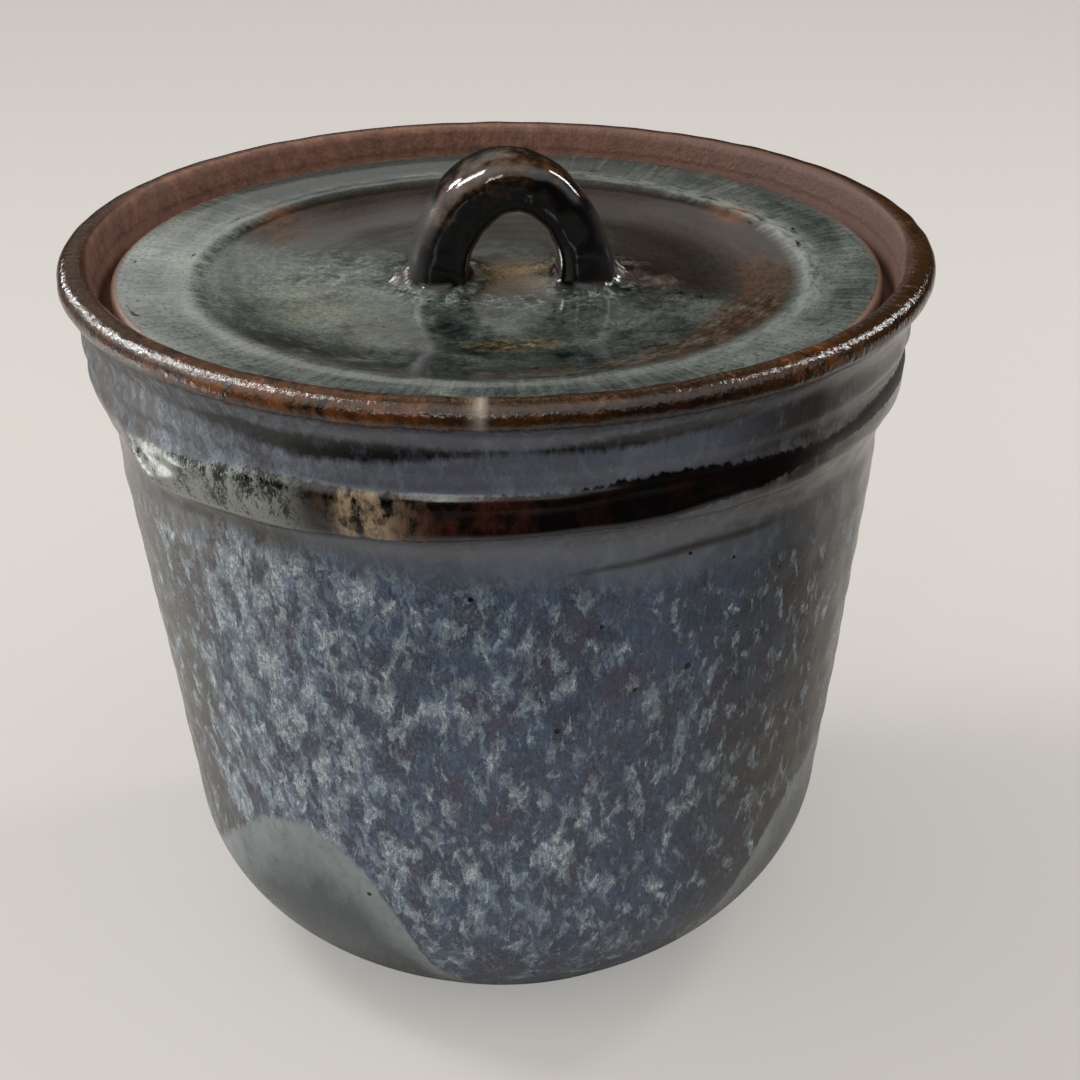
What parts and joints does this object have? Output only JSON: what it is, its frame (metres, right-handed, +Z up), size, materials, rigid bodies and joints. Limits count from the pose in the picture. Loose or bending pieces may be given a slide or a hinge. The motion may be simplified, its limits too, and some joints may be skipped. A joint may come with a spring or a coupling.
{
  "type": "lidded stoneware water jar",
  "caption": "Wheel-thrown stoneware water jar with a flared lip and a rib below it, a loose lid that drops onto an inner ledge, and a strap loop on the lid to lift it by.",
  "frame": {"origin": "middle of the foot ring, on the surface that the jar stands on", "axes": "+Z up along the jar's axis, X across the width of the lid's handle, the pictured side faces -Y"},
  "size_m": [0.19, 0.19, 0.1836],
  "materials": {
    "jar_glaze": "slate blue glaze with pale runs over an iron-dark neck, gloss",
    "lid_glaze": "grey-green glaze breaking to iron brown, gloss",
    "handle_glaze": "iron-black glaze breaking to rust on its edges, high gloss"
  },
  "bodies": {
    "jar": {"jar_body": "jar_glaze"},
    "lid": {"lid_plate": "lid_glaze", "lid_handle": "handle_glaze"}
  },
  "joints": [
    {"name": "lid_lift", "type": "slide", "parent": "jar", "child": "lid", "axis": [0, 0, 1], "range_m": [0, 0.12]}
  ]
}
